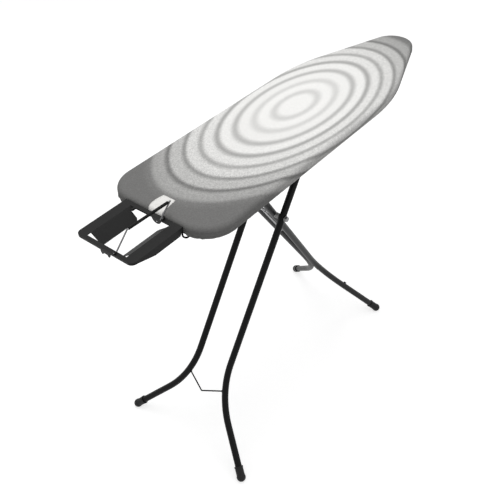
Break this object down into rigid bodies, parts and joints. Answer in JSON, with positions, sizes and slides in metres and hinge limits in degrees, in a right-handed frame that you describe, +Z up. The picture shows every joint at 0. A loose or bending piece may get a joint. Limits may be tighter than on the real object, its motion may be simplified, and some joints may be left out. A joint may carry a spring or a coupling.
{
  "type": "folding ironing board",
  "caption": "Free-standing ironing board with a padded tapered top, crossing folding legs with splayed feet, and an open sheet-metal iron rest with a raised wire bail at its blunt end.",
  "frame": {"origin": "centre of the overall box in plan, on the floor that the four feet stand on", "axes": "+X along the board towards its narrow nose, +Y to the left when facing +X, +Z up"},
  "size_m": [1.417, 0.512, 1.0028],
  "materials": {
    "cover_fabric": "plain weave with printed rings",
    "felt": "felt",
    "black_enamel": "satin powder coat",
    "grey_enamel": "satin powder coat",
    "zinc": "bright zinc",
    "black_plastic": "moulded",
    "pale_plastic": "moulded",
    "black_rubber": "smooth silicone"
  },
  "bodies": {
    "board": {"cover": "cover_fabric", "pad": "felt", "top_panel": "grey_enamel", "edge_rim": "black_enamel", "bar_rear": "black_enamel", "bar_pivot": "black_enamel", "bar_slide_rear": "black_enamel", "bar_slide_front": "black_enamel", "pivot_bracket": "black_enamel", "rail_left": "black_enamel", "rail_right": "black_enamel", "rail_rivets": "zinc", "lever_bracket": "black_enamel", "lever_pin": "zinc", "rest_frame": "black_enamel", "rest_wing_left": "black_enamel", "rest_wing_right": "black_enamel", "rest_brackets": "black_enamel", "rest_screws": "zinc", "rest_hooks": "black_enamel", "rest_clip": "black_plastic", "rest_tab": "black_plastic", "bail_lugs": "black_enamel"},
    "bail": {"bail_wire": "zinc", "bail_sleeve": "black_rubber"},
    "lever": {"release_lever": "black_enamel", "lever_grip": "black_plastic"},
    "inner_legs": {"inner_tube_left": "grey_enamel", "inner_tube_right": "grey_enamel", "inner_axle": "zinc", "inner_axle_caps": "black_plastic", "inner_brace": "grey_enamel", "stay_wire": "zinc", "tube_stud": "black_plastic", "inner_foot_left": "black_plastic", "inner_foot_right": "black_plastic", "crossing_pin": "zinc", "crossing_spacers": "pale_plastic", "crossing_caps": "zinc"},
    "outer_legs": {"outer_tube_left": "black_enamel", "outer_tube_right": "black_enamel", "outer_axle": "zinc", "rail_rollers": "pale_plastic", "outer_brace": "black_enamel", "outer_foot_left": "black_plastic", "outer_foot_right": "black_plastic"}
  },
  "joints": [
    {"name": "inner_fold", "type": "hinge", "parent": "board", "child": "inner_legs", "pos_m": [-0.2415, 0, 0.911], "axis": [0, -1, 0], "range_deg": [0, 54]},
    {"name": "outer_fold", "type": "hinge", "parent": "inner_legs", "child": "outer_legs", "pos_m": [-0.10037, 0, 0.68541], "axis": [0, 1, 0], "range_deg": [0, 104.3]},
    {"name": "lever_squeeze", "type": "hinge", "parent": "board", "child": "lever", "pos_m": [0.1815, -0.116, 0.9295], "axis": [-1, 0, 0], "range_deg": [0, 20], "stiffness_Nm_per_rad": 0.6, "springref_deg": -11.46},
    {"name": "bail_fold", "type": "hinge", "parent": "board", "child": "bail", "pos_m": [-0.6175, -0.042, 0.9615], "axis": [-1, 0, 0], "range_deg": [0, 50]}
  ],
  "couplings": [
    {"joint": "outer_fold", "follows": "inner_fold", "ratio": 1.93}
  ]
}
